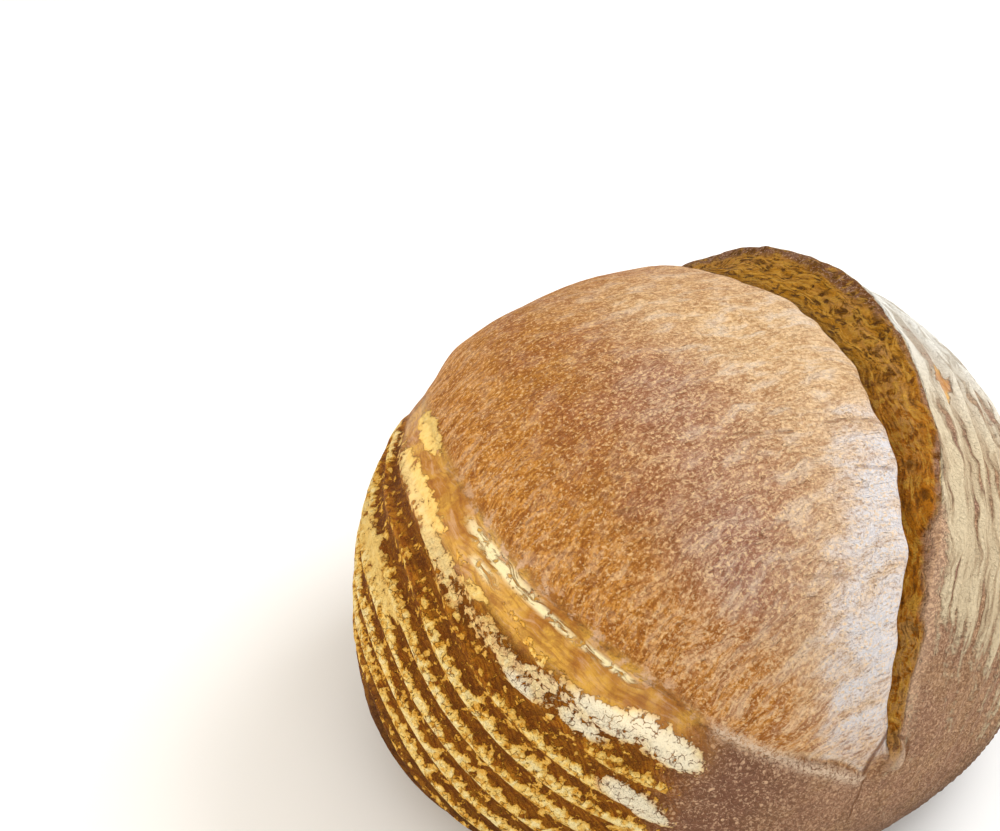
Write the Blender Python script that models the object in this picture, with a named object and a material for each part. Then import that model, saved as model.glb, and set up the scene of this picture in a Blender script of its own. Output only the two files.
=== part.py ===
"""Round sourdough loaf, split along one long curved score.

The crust is one closed surface. A direction from the middle of the loaf is given by
two angles: v runs along the score from its front end (-90) to its back end (+90), and
turn runs round it, from straight up (0) towards the ear's side. The plain dome is pushed
in and out along that direction by the bloom, the torn gap, the ear and the basket's rings,
and is cut off flat where it stood on the baking stone.
"""

import math

import bmesh
import bpy
import numpy as np

# The dome, in metres.
RADIUS_ACROSS = 0.1112
RADIUS_ALONG = 0.1006
RISE = 0.0975
SAG = 0.0510
WIDEST = 0.0388
FULLNESS = 2.5
BASE_BLEND = 0.004
SCORE_TURN = math.radians(35)

# The bloom: the dough that swelled out of the score, and its rolled right-hand edge.
BLOOM_RISE = 0.0035
BLOOM_SLOPE, BLOOM_SLOPE_BACK = 0.45, 0.20
SHORE_FADE = (8, 36)
ROLL = 0.009
ROLL_SHARE = 0.35
UNDERCUT = math.radians(25)
VALLEY_DEPTH = 0.0014
VALLEY_WIDTH = 0.004
SHORE_HEIGHT = 0.0006
SHORE_OUT = 0.008

# The torn gap and the ear that stands over it.
GAP_DEPTH = 0.002
GAP_SWEEP = 1.25
EAR_RUN = 0.022
EAR_FADE = (0.020, 0.070)
LIP_HEIGHT = 0.0012
LIP_WIDTH = 0.0032
LIP_LEAN = 0.0025
LIP_SHADE = 0.0016
FULL_EAR = 0.006

# Stations along the score: v, the ear's tip and the bloom's left shore as turns in
# degrees, the width of the torn gap and the height of the ear in millimetres.
STATIONS = (
    (-90, -10, -10, 0.0, 0.0),
    (-78, 5, -27, 1.6, 0.6),
    (-64, 10.5, -49, 6.0, 1.2),
    (-45, 19.5, -50, 10.0, 3.2),
    (-20, 28, -50, 17.0, 3.8),
    (5, 32.5, -48, 21.0, 7.0),
    (28, 33, -46.5, 26.0, 8.0),
    (48, 33, -46, 19.5, 7.0),
    (66, 20, -40, 9.5, 4.0),
    (80, 4, -26, 3.0, 2.0),
    (90, -10, -10, 0.0, 0.0),
)
FRONT_END = (-82, -60)
BACK_END = (64, 84)
LEAST_TURN = math.radians(2)

# The rings that the cane basket pressed in, lower at the front where the loaf settled.
RING_PITCH = 0.0093
RING_PHASE = 0.005
RING_DEPTH = 0.0009
RING_TILT = math.radians(32)
RING_BACK_TILT = math.radians(8)
RING_TILT_TO = math.radians(-58)
RING_CLEAR = 0.006
RING_FROM, RING_FULL = 0.004, 0.014
EAR_RINGS_FROM = 0.050
EAR_RINGS_END = (40, 62)
BARE_TO = math.radians(-58)
BARE_HALF = math.radians(42)
BARE_SHARE = 0.85

# Unevenness of the dough and of its torn edges.
SEED = 7
SWELLS = 7
SWELL_HEIGHT = 0.0006
SWELL_LENGTHS = (0.060, 0.140)
# Broad flats where the dough slumped: heading and rise in degrees, metres deep, and
# half width in degrees.
FLATS = ((180, 0, 0.0025, 28), (-45, -10, 0.0025, 28), (15, 36, 0.0015, 24))
EDGE_WAVES = 6
EDGE_LENGTHS = (0.012, 0.040)
EDGE_WANDER = 0.0012
TIP_WANDER = 0.0007

# The mesh.
ROUND_STEPS = 264
ALONG_STEPS = 176
TRIANGLES = 11600
SHARE_LEFT, SHARE_BLOOM, SHARE_GAP = 0.30, 0.27, 0.13
CRUST_COLOUR = (0.352, 0.165, 0.063, 1.0)
CRUST_ROUGHNESS = 0.75


def clear_scene():
    """Remove every object that the scene starts with."""
    for old in list(bpy.data.objects):
        bpy.data.objects.remove(old, do_unlink=True)


def smooth(start, end, x):
    """0 before start, 1 after end, and a smooth step between them."""
    t = np.clip((x - start) / (end - start), 0.0, 1.0)
    return t * t * (3.0 - 2.0 * t)


def bump(x, width):
    """A bell of height 1 about zero."""
    return np.exp(-((x / width) ** 2))


def along(column, v):
    """A station column as a smooth curve of v, through cubic Hermite pieces."""
    table = np.array(STATIONS, float)
    x, y = table[:, 0], table[:, column]
    slope = np.gradient(y, x)
    i = np.clip(np.searchsorted(x, v) - 1, 0, len(x) - 2)
    h = x[i + 1] - x[i]
    t = np.clip((v - x[i]) / h, 0.0, 1.0)
    start = (2 * t**3 - 3 * t**2 + 1) * y[i] + (t**3 - 2 * t**2 + t) * h * slope[i]
    return start + (3 * t**2 - 2 * t**3) * y[i + 1] + (t**3 - t**2) * h * slope[i + 1]


def waves(x, count, lengths, draw):
    """A sum of sines of x with drawn lengths and phases, about 1 high at most."""
    total = np.zeros_like(x)
    for _ in range(count):
        length = draw.uniform(*lengths)
        total += np.sin(2 * math.pi * (x / length + draw.uniform()))
    return total / math.sqrt(2 * count)


def score_axes():
    """Unit vectors across the score towards the ear, along it to the back, and up."""
    c, s = math.cos(SCORE_TURN), math.sin(SCORE_TURN)
    return np.array([c, s, 0.0]), np.array([-s, c, 0.0]), np.array([0.0, 0.0, 1.0])


def score_lines(v):
    """Turns of the left shore, the bloom's edge and the ear's tip, and metres a radian."""
    draw = np.random.default_rng(SEED)
    mean = 0.5 * (RADIUS_ACROSS + RADIUS_ALONG)
    metres = mean * np.maximum(np.cos(np.radians(v)), 0.12)
    run = np.radians(v) * mean
    torn = np.maximum(along(3, v), 0.3) * 0.001
    ragged = np.minimum(torn / 0.008, 1.0)
    edge_off = EDGE_WANDER * ragged * waves(run, EDGE_WAVES, EDGE_LENGTHS, draw)
    tip_off = TIP_WANDER * ragged * waves(run, EDGE_WAVES, EDGE_LENGTHS, draw)
    tip = np.radians(along(1, v)) + tip_off / metres
    edge = tip - (torn + edge_off) / metres
    shore = np.minimum(np.radians(along(2, v)), edge - LEAST_TURN)
    return shore, edge, tip, metres


def dome(direction):
    """The plain loaf: a superellipsoid about its widest level."""
    across, ahead, _ = score_axes()
    level = np.hypot(direction @ across / RADIUS_ACROSS, direction @ ahead / RADIUS_ALONG)
    rise = np.where(direction[..., 2] > 0, RISE, SAG)
    size = level**FULLNESS + (np.abs(direction[..., 2]) / rise) ** FULLNESS
    return (size ** (-1 / FULLNESS))[..., None] * direction


def profile_length(rise_angle):
    """Length over the dome's side from its widest level up to an angle of rise."""
    angles = np.linspace(-math.pi / 2, math.pi / 2, 721)
    rise = np.where(angles > 0, RISE, SAG)
    mean = 0.5 * (RADIUS_ACROSS + RADIUS_ALONG)
    size = (np.cos(angles) / mean) ** FULLNESS + (np.abs(np.sin(angles)) / rise) ** FULLNESS
    radius = size ** (-1 / FULLNESS)
    x, z = radius * np.cos(angles), radius * np.sin(angles)
    length = np.concatenate([[0.0], np.cumsum(np.hypot(np.diff(x), np.diff(z)))])
    return np.interp(rise_angle, angles, length - length[len(angles) // 2])


def ring_relief(direction, v, from_tip):
    """The basket's rings as a height, about zero, drawn out along the ear on its side."""
    heading = np.arctan2(direction[..., 1], direction[..., 0]) - RING_TILT_TO
    facing = np.cos(heading)
    tilt = RING_BACK_TILT + (RING_TILT - RING_BACK_TILT) * smooth(-0.3, 0.3, facing)
    level = np.hypot(direction[..., 0], direction[..., 1])
    upright = direction[..., 2] * np.cos(tilt) + level * facing * np.sin(tilt)
    length = profile_length(np.arcsin(np.clip(upright, -1.0, 1.0)))
    drawn_out = (from_tip > 0) * (1 - smooth(*EAR_RINGS_END, v))
    length = length + drawn_out * (EAR_RINGS_FROM - from_tip - length)
    phase = 2 * math.pi * (length - RING_PHASE) / RING_PITCH
    return RING_DEPTH * (np.cos(phase) + 0.25 * np.cos(2 * phase) - 0.1)


def unevenness(direction):
    """Long shallow swells all over the dough, and its broad flats."""
    draw = np.random.default_rng(SEED + 1)
    mean = 0.5 * (RADIUS_ACROSS + RADIUS_ALONG)
    total = np.zeros(direction.shape[:-1])
    for _ in range(SWELLS):
        way = draw.normal(size=3)
        way /= np.linalg.norm(way)
        length = draw.uniform(*SWELL_LENGTHS)
        total += np.sin(2 * math.pi * (direction @ way * mean / length + draw.uniform()))
    total *= SWELL_HEIGHT / math.sqrt(SWELLS)
    for heading, rise, depth, half in FLATS:
        heading, rise = math.radians(heading), math.radians(rise)
        level = math.cos(rise)
        centre = (level * math.cos(heading), level * math.sin(heading), math.sin(rise))
        away = np.degrees(np.arccos(np.clip(direction @ np.array(centre), -1.0, 1.0)))
        total -= depth * bump(away, half)
    return total


def crust(v, turn):
    """Points of the crust for v in degrees and turn in radians, standing on z = 0."""
    across, ahead, up = score_axes()
    tilt = np.radians(v)
    direction = (
        (np.cos(tilt) * np.sin(turn))[..., None] * across
        + (np.cos(tilt) * np.cos(turn))[..., None] * up
        + np.sin(tilt)[..., None] * ahead
    )
    sideways = np.cos(turn)[..., None] * across - np.sin(turn)[..., None] * up
    shore, edge, tip, metres = score_lines(v)
    from_shore = (turn - shore) * metres
    from_edge = (turn - edge) * metres
    from_tip = (turn - tip) * metres
    width = np.maximum((edge - shore) * metres, 1e-4)
    torn = np.maximum((tip - edge) * metres, 1e-4)
    ear = np.maximum(along(4, v), 0.0) * 0.001
    open_share = smooth(*FRONT_END, v) * (1 - smooth(*BACK_END, v))

    # The bloom rises from its left shore and rolls over its right edge into the gap.
    far_back = smooth(*SHORE_FADE, v)
    slope = BLOOM_SLOPE + (BLOOM_SLOPE_BACK - BLOOM_SLOPE) * far_back
    bloom = BLOOM_RISE * open_share * smooth(0.0, np.maximum(slope * width, 1e-3), from_shore)
    floor = -GAP_DEPTH * open_share
    roll = np.minimum(ROLL, ROLL_SHARE * width)
    under = math.cos(math.pi / 2 + UNDERCUT)
    middle = (floor - under * bloom) / (1 - under)
    bend = np.clip(1 + from_edge / roll, 0.0, 1.0) * (math.pi / 2 + UNDERCUT * open_share)
    in_roll = (from_edge > -roll) & (from_edge <= 0)
    height = np.where(in_roll, middle + (bloom - middle) * np.cos(bend), bloom)
    shift = np.where(in_roll, (-roll + roll * np.sin(bend) - from_edge) * open_share, 0.0)

    # The torn face climbs from the foot of the bloom to the ear's tip.
    climb = np.clip(from_edge / torn, 0.0, 1.0)
    in_gap = from_edge > 0
    foot = -roll * (1 - math.cos(UNDERCUT)) * open_share
    height = np.where(in_gap, floor + (ear - floor) * climb**GAP_SWEEP, height)
    shift = np.where(in_gap, foot * (1 - climb), shift)

    # Outside the tip the ear's flap runs down into the side of the loaf.
    beyond = np.maximum(from_tip, 0.0)
    flap = ear * np.exp(-beyond / EAR_RUN) * (1 - smooth(*EAR_FADE, beyond))
    height = np.where(from_tip > 0, flap, height)
    shift = np.where(from_tip > 0, 0.0, shift)
    lifted = np.clip(ear / FULL_EAR, 0.0, 1.0)
    height = height + LIP_HEIGHT * lifted * bump(from_tip, LIP_WIDTH)
    height = height - LIP_SHADE * lifted * in_gap * bump(from_tip + 2 * LIP_WIDTH, LIP_WIDTH)
    lean = LIP_LEAN * lifted * bump(from_tip, 2 * LIP_WIDTH)
    shift = shift - lean * smooth(0.0, 0.3 * torn, from_edge)

    # The left shore: a shallow valley with a low rim outside it, level towards the back.
    height = np.where(from_shore < 0, 0.0, height)
    shallow = open_share * (1 - far_back)
    height = height - VALLEY_DEPTH * shallow * bump(from_shore, VALLEY_WIDTH)
    height = height + SHORE_HEIGHT * shallow * bump(from_shore + SHORE_OUT, VALLEY_WIDTH)

    # Rings on the skin outside the score, fading low down and at the bare front.
    left_skin = smooth(RING_CLEAR, 2 * RING_CLEAR, -from_shore)
    right_skin = smooth(0.5 * RING_CLEAR, 2 * RING_CLEAR, from_tip)
    plain = dome(direction)
    heading = np.arctan2(plain[..., 1], plain[..., 0]) - BARE_TO
    bare = bump(np.angle(np.exp(1j * heading)), BARE_HALF)
    skin = np.maximum(left_skin, right_skin) * (1 - BARE_SHARE * bare)
    skin = skin * smooth(RING_FROM, RING_FULL, plain[..., 2] + WIDEST)
    height = height + skin * ring_relief(direction, v, from_tip) + unevenness(direction)

    points = plain + height[..., None] * direction + shift[..., None] * sideways
    level = points[..., 2] + WIDEST
    blended = (level + BASE_BLEND) ** 2 / (4 * BASE_BLEND)
    flat = np.where(level > BASE_BLEND, level, np.where(level < -BASE_BLEND, 0.0, blended))
    points[..., 2] = flat
    return points


def spread_turns(share, v):
    """Turns for equal shares of a circle, closer together on the bloom, gap and ear."""
    shore, edge, tip, _ = score_lines(v)
    first = -math.pi + np.zeros_like(shore)
    stops = [first, shore, edge, tip, first + 2 * math.pi]
    starts = np.cumsum([0.0, SHARE_LEFT, SHARE_BLOOM, SHARE_GAP])
    ends = np.append(starts[1:], 1.0)
    turn = np.zeros_like(share)
    for low, high, start, end in zip(stops, stops[1:], starts, ends):
        inside = (share >= start) & (share <= end)
        turn = np.where(inside, low + (high - low) * (share - start) / (end - start), turn)
    return turn


def add_loaf(collection):
    """The loaf: a sphere with its poles at the score's ends, moved onto the crust."""
    bm = bmesh.new()
    bmesh.ops.create_uvsphere(bm, u_segments=ROUND_STEPS, v_segments=ALONG_STEPS, radius=1.0)
    mesh = bpy.data.meshes.new("loaf")
    bm.to_mesh(mesh)
    bm.free()
    unit = np.empty(len(mesh.vertices) * 3)
    mesh.vertices.foreach_get("co", unit)
    unit = unit.reshape(-1, 3)
    v = np.degrees(np.arcsin(np.clip(unit[:, 2], -1.0, 1.0)))
    share = (np.arctan2(unit[:, 1], unit[:, 0]) / (2 * math.pi)) % 1.0
    points = crust(v, spread_turns(share, v))
    middle = 0.5 * (points.min(axis=0) + points.max(axis=0))
    points[:, :2] -= middle[:2]
    mesh.vertices.foreach_set("co", points.ravel())
    mesh.polygons.foreach_set("use_smooth", [True] * len(mesh.polygons))
    mesh.update()
    loaf = bpy.data.objects.new("loaf", mesh)
    collection.objects.link(loaf)
    decimate = loaf.modifiers.new("even_facets", "DECIMATE")
    full = ROUND_STEPS * (2 * ALONG_STEPS - 2)
    decimate.ratio = TRIANGLES / full
    decimate.use_collapse_triangulate = True
    return loaf


def crust_material():
    """Matt golden-brown crust."""
    material = bpy.data.materials.new("baked_crust")
    material.use_nodes = True
    shader = material.node_tree.nodes["Principled BSDF"]
    shader.inputs["Base Color"].default_value = CRUST_COLOUR
    shader.inputs["Roughness"].default_value = CRUST_ROUGHNESS
    shader.inputs["Metallic"].default_value = 0.0
    return material


def main():
    clear_scene()
    collection = bpy.data.collections.new("sourdough_loaf")
    bpy.context.scene.collection.children.link(collection)
    loaf = add_loaf(collection)
    loaf.data.materials.append(crust_material())


main()
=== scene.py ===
"""Round sourdough loaf, dressed for its portrait: crust, bloom, torn score, ear and flour.

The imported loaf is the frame. The crust here is the same surface at a finer step, with
the torn crumb, a blister, creases and the flour's thickness added, and it replaces the
solid.
"""

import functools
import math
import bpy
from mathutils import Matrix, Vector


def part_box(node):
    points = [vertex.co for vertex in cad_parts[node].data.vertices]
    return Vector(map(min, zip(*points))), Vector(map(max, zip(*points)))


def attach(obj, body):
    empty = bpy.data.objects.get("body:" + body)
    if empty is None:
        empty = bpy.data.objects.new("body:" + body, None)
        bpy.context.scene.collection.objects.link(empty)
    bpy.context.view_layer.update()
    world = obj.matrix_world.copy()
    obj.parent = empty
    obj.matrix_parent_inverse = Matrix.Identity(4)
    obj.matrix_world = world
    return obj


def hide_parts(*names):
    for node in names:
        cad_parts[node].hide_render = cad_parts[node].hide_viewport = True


bl_info = {
    "name": "Sourdough Loaf",
    "version": (1, 0, 0),
    "blender": (4, 5, 0),
    "location": "3D View > Sidebar > Loaf",
    "description": "A round scored sourdough loaf with floured basket rings",
    "category": "Add Mesh",
}

import types

import bpy
import numpy as np
from mathutils import Vector

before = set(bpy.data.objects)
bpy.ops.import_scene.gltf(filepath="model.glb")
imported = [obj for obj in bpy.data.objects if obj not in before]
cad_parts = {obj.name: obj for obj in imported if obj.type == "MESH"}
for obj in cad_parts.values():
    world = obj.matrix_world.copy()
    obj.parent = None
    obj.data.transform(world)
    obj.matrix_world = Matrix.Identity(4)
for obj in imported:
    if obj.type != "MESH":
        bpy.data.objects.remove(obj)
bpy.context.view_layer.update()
LOW, HIGH = (np.array(corner, float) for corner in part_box("loaf"))

# The dome, in metres, as the solid has it.
RADIUS_ACROSS = 0.1112
RADIUS_ALONG = 0.1006
RISE = 0.0975
SAG = 0.0510
WIDEST = 0.0388
FULLNESS = 2.5
BASE_BLEND = 0.004
SCORE_TURN = math.radians(35)
MEAN_RADIUS = 0.5 * (RADIUS_ACROSS + RADIUS_ALONG)

# The bloom and its shores.
BLOOM_RISE = 0.0035
BLOOM_SLOPE, BLOOM_SLOPE_BACK = 0.45, 0.20
SHORE_FADE = (8, 36)
ROLL = 0.009
ROLL_SHARE = 0.35
UNDERCUT = math.radians(25)
VALLEY_DEPTH = 0.0014
VALLEY_WIDTH = 0.004
SHORE_HEIGHT = 0.0006
SHORE_OUT = 0.008

# The torn gap and the ear.
GAP_DEPTH = 0.002
GAP_SWEEP = 1.25
EAR_RUN = 0.022
EAR_FADE = (0.020, 0.070)
LIP_HEIGHT = 0.0012
LIP_WIDTH = 0.0032
LIP_LEAN = 0.0025
LIP_SHADE = 0.0016
FULL_EAR = 0.006

# Stations along the score: v, the ear's tip and the bloom's left shore as turns in
# degrees, the width of the torn gap and the height of the ear in millimetres.
STATIONS = (
    (-90, -10, -10, 0.0, 0.0),
    (-78, 5, -27, 1.6, 0.6),
    (-64, 10.5, -49, 6.0, 1.2),
    (-45, 19.5, -50, 10.0, 3.2),
    (-20, 28, -50, 17.0, 3.8),
    (5, 32.5, -48, 21.0, 7.0),
    (28, 33, -46.5, 26.0, 8.0),
    (48, 33, -46, 19.5, 7.0),
    (66, 20, -40, 9.5, 4.0),
    (80, 4, -26, 3.0, 2.0),
    (90, -10, -10, 0.0, 0.0),
)
FRONT_END = (-82, -60)
BACK_END = (64, 84)
LEAST_TURN = math.radians(2)

# The basket's rings.
RING_PITCH = 0.0093
RING_PHASE = 0.005
RING_TILT = math.radians(32)
RING_BACK_TILT = math.radians(8)
RING_TILT_TO = math.radians(-58)
RING_CLEAR = 0.006
RING_FROM, RING_FULL = 0.004, 0.014
EAR_RINGS_FROM = 0.050
EAR_RINGS_END = (40, 62)
BARE_TO = math.radians(-58)
BARE_HALF = math.radians(42)
BARE_SHARE = 0.85

# Unevenness of the dough and of its torn edges.
SEED = 7
SWELLS = 7
SWELL_HEIGHT = 0.0006
SWELL_LENGTHS = (0.060, 0.140)
FLATS = ((180, 0, 0.0025, 28), (-45, -10, 0.0025, 28), (15, 36, 0.0015, 24))
EDGE_WAVES = 6
EDGE_LENGTHS = (0.012, 0.040)
EDGE_WANDER = 0.0012
TIP_WANDER = 0.0007

# Grid of the crust: steps round and along, and the share of the round steps that each
# stretch takes, from the underside's middle over the left skin, bloom, roll, gap, lip
# and right skin back to the underside.
ROUND_STEPS = 452
ALONG_STEPS = 220
SHARES = (0.03, 0.20, 0.31, 0.05, 0.13, 0.06, 0.19, 0.03)
UNDER_TURN = math.radians(112)
LIP_SPAN = 0.007

# Flour on the left in cakes and plates, white streaks on the stretched strip that are flour with a
# painted sheen, and the skin's bare spot by the ear: v, millimetres out from the shore or the
# ear's tip, and the half sizes of both.
CAKES = (
    (-49, 11, 6.5, 4.6),
    (-41, 14, 6.0, 3.2),
    (-49, 33, 5.0, 3.8),
    (-37, 21, 3.5, 2.6),
    (-27, 22, 2.5, 2.0),
)
PLATES = (
    (8, 9.6, 12, 3.0),
    (17, 0.2, 7, 3.2),
    (-5, 14, 5, 2.4),
    (13, 34, 11, 4.6),
    (2, 38, 7, 3.0),
    (-14, 12, 3, 1.4),
)
STREAKS = (
    (-15, 2.4, 8.5, 2.2),
    (-14, 7.0, 3.5, 1.5),
    (-25, 3.0, 7, 1.2),
    (-36, 2.4, 5, 1.0),
)
BARE_SPOT = (-16.8, 11.3, 5.4, 4.0)
# The band of clumps beside the stretched strip: v, millimetres out, half width, and cover.
CLUMPS = (
    (-56, 9, 4.5, 0.00),
    (-52, 10, 5.0, 0.90),
    (-44, 12, 5.0, 0.80),
    (-37, 17, 4.5, 0.70),
    (-25, 19, 4.0, 0.66),
    (-8, 16, 3.0, 0.66),
    (4, 12, 2.6, 0.50),
)
# Lines at the front, as heading and rise in degrees: the pale ridge, the crease that the
# score ends in, the hairline crack below it, and the outline of the blister. The blister
# has its middle and its half sizes in millimetres.
RIDGE = ((-84.8, 22.2), (-80.4, 19.8), (-73.8, 16.2), (-67.0, 12.6), (-59.1, 7.7))
FRONT_CREASE = ((-54.2, 16.3), (-56.2, 14.1), (-57.8, 11.7), (-58.8, 9.0))
HAIRLINE = ((-58.4, 7.5), (-59.3, 4.5), (-60.0, 1.4), (-60.7, -1.2))
BLISTER_LINE = ((-52.6, 14.6), (-50.4, 12.5), (-50.2, 9.8), (-51.3, 7.5), (-53.3, 7.1))
BLISTER, BLISTER_HALVES = (-53.3, 11.0), (3.2, 5.8)
# Creases in the bloom: v and millimetres in from its edge.
CREASES = (
    ((-24.7, 20.2), (-25.4, 10.8), (-27.2, -0.2)),
    ((-21.4, 48.0), (-24.7, 30.8)),
    ((-33.0, 16.0), (-34.5, 6.0)),
    ((12.0, 61.0), (11.2, 53.0)),
    ((-22.0, 87.0), (-23.6, 81.0)),
    ((-45.0, 34.0), (-47.5, 22.0)),
)
# Heights of the fine relief in metres, and the v of the strand across the gap's front.
SKIN_LUMPS = 0.00028
RIDGE_HEIGHT = 0.0008
LIP_LUMPS = 0.0007
LEDGE_HEIGHT = 0.0011
BLISTER_HEIGHT = 0.0030
STRAND_HEIGHT = 0.0030
STRAND_AT = -59.5
SCENE = bpy.context.scene


def linear(code):
    """An sRGB hex colour as linear red, green, blue and alpha."""
    parts = [int(code[i : i + 2], 16) / 255 for i in (1, 3, 5)]
    return tuple(c / 12.92 if c <= 0.04045 else ((c + 0.055) / 1.055) ** 2.4 for c in parts) + (1.0,)


def smooth(start, end, x):
    """A smooth step from 0 at start to 1 at end, which may be the lower of the two."""
    t = np.clip((x - start) / (end - start), 0.0, 1.0)
    return t * t * (3.0 - 2.0 * t)


def bump(x, width):
    """A bell of height 1 about zero."""
    return np.exp(-((x / width) ** 2))


def along(column, v):
    """A station column as a smooth curve of v, through cubic Hermite pieces."""
    table = np.array(STATIONS, float)
    x, y = table[:, 0], table[:, column]
    slope = np.gradient(y, x)
    i = np.clip(np.searchsorted(x, v) - 1, 0, len(x) - 2)
    h = x[i + 1] - x[i]
    t = np.clip((v - x[i]) / h, 0.0, 1.0)
    start = (2 * t**3 - 3 * t**2 + 1) * y[i] + (t**3 - 2 * t**2 + t) * h * slope[i]
    return start + (3 * t**2 - 2 * t**3) * y[i + 1] + (t**3 - t**2) * h * slope[i + 1]


def waves(x, count, lengths, draw):
    """A sum of sines of x with drawn lengths and phases, about 1 high at most."""
    total = np.zeros_like(x)
    for _ in range(count):
        length = draw.uniform(*lengths)
        total += np.sin(2 * math.pi * (x / length + draw.uniform()))
    return total / math.sqrt(2 * count)


def lattice(points, cell, seed):
    """Value noise from -1 to 1: a mixed integer at each lattice corner, eased between."""
    place = points / np.asarray(cell, float)
    base = np.floor(place).astype(np.int64)
    part = place - base
    part = part * part * (3 - 2 * part)
    total = np.zeros(points.shape[:-1])
    for corner in np.ndindex(2, 2, 2):
        key = base + np.array(corner)
        mixed = key[..., 0] * 73856093 ^ key[..., 1] * 19349663 ^ key[..., 2] * 83492791
        mixed = (mixed ^ (seed * 2654435761)) & 0xFFFFFFFF
        mixed = ((mixed ^ (mixed >> 15)) * 2246822519) & 0xFFFFFFFF
        mixed = ((mixed ^ (mixed >> 13)) * 3266489917) & 0xFFFFFFFF
        value = ((mixed ^ (mixed >> 16)) & 0xFFFF) / 32767.5 - 1.0
        weight = np.prod(np.where(np.array(corner), part, 1 - part), axis=-1)
        total += weight * value
    return total


def layered(points, cell, seed, layers=3):
    """Value noise in layers, each half as large and half as high as the one before."""
    total = np.zeros(points.shape[:-1])
    reach = 0.0
    for layer in range(layers):
        total += lattice(points, np.asarray(cell, float) / 2**layer, seed + layer) / 2**layer
        reach += 0.5**layer
    return total / reach


def score_axes():
    """Unit vectors across the score towards the ear, along it to the back, and up."""
    c, s = math.cos(SCORE_TURN), math.sin(SCORE_TURN)
    return np.array([c, s, 0.0]), np.array([-s, c, 0.0]), np.array([0.0, 0.0, 1.0])


def score_lines(v):
    """Turns of the left shore, the bloom's edge and the ear's tip, and metres a radian."""
    draw = np.random.default_rng(SEED)
    metres = MEAN_RADIUS * np.maximum(np.cos(np.radians(v)), 0.12)
    run = np.radians(v) * MEAN_RADIUS
    torn = np.maximum(along(3, v), 0.3) * 0.001
    ragged = np.minimum(torn / 0.008, 1.0)
    edge_off = EDGE_WANDER * ragged * waves(run, EDGE_WAVES, EDGE_LENGTHS, draw)
    tip_off = TIP_WANDER * ragged * waves(run, EDGE_WAVES, EDGE_LENGTHS, draw)
    tip = np.radians(along(1, v)) + tip_off / metres
    edge = tip - (torn + edge_off) / metres
    shore = np.minimum(np.radians(along(2, v)), edge - LEAST_TURN)
    return shore, edge, tip, metres


def dome(direction):
    """The plain loaf: a superellipsoid about its widest level."""
    across, ahead, _ = score_axes()
    level = np.hypot(direction @ across / RADIUS_ACROSS, direction @ ahead / RADIUS_ALONG)
    rise = np.where(direction[..., 2] > 0, RISE, SAG)
    size = level**FULLNESS + (np.abs(direction[..., 2]) / rise) ** FULLNESS
    return (size ** (-1 / FULLNESS))[..., None] * direction


def profile_length(rise_angle):
    """Length over the dome's side from its widest level up to an angle of rise."""
    angles = np.linspace(-math.pi / 2, math.pi / 2, 721)
    rise = np.where(angles > 0, RISE, SAG)
    size = (np.cos(angles) / MEAN_RADIUS) ** FULLNESS + (np.abs(np.sin(angles)) / rise) ** FULLNESS
    radius = size ** (-1 / FULLNESS)
    x, z = radius * np.cos(angles), radius * np.sin(angles)
    length = np.concatenate([[0.0], np.cumsum(np.hypot(np.diff(x), np.diff(z)))])
    return np.interp(rise_angle, angles, length - length[len(angles) // 2])


def ring_wave(direction, v, from_tip):
    """The rings, from about -1 in a groove to 1 on a ridge, drawn out along the ear."""
    heading = np.arctan2(direction[..., 1], direction[..., 0]) - RING_TILT_TO
    facing = np.cos(heading)
    tilt = RING_BACK_TILT + (RING_TILT - RING_BACK_TILT) * smooth(-0.3, 0.3, facing)
    level = np.hypot(direction[..., 0], direction[..., 1])
    upright = direction[..., 2] * np.cos(tilt) + level * facing * np.sin(tilt)
    length = profile_length(np.arcsin(np.clip(upright, -1.0, 1.0)))
    drawn_out = (from_tip > 0) * (1 - smooth(*EAR_RINGS_END, v))
    length = length + drawn_out * (EAR_RINGS_FROM - from_tip - length)
    phase = 2 * math.pi * (length - RING_PHASE) / RING_PITCH
    return np.cos(phase) + 0.25 * np.cos(2 * phase) - 0.1


def unevenness(direction):
    """Long shallow swells all over the dough, and its broad flats."""
    draw = np.random.default_rng(SEED + 1)
    total = np.zeros(direction.shape[:-1])
    for _ in range(SWELLS):
        way = draw.normal(size=3)
        way /= np.linalg.norm(way)
        length = draw.uniform(*SWELL_LENGTHS)
        total += np.sin(2 * math.pi * (direction @ way * MEAN_RADIUS / length + draw.uniform()))
    total *= SWELL_HEIGHT / math.sqrt(SWELLS)
    for heading, rise, depth, half in FLATS:
        heading, rise = math.radians(heading), math.radians(rise)
        level = math.cos(rise)
        centre = (level * math.cos(heading), level * math.sin(heading), math.sin(rise))
        away = np.degrees(np.arccos(np.clip(direction @ np.array(centre), -1.0, 1.0)))
        total -= depth * bump(away, half)
    return total


def spots(v, out, places, wander):
    """Where any of the listed ellipses lies, in v and millimetres out, with a loose edge."""
    total = np.zeros_like(v)
    for at_v, at_out, half_v, half_out in places:
        away = ((v - at_v) / half_v) ** 2 + ((out - at_out) / half_out) ** 2
        total = np.maximum(total, smooth(1.9, 0.3, away + wander))
    return total


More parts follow.
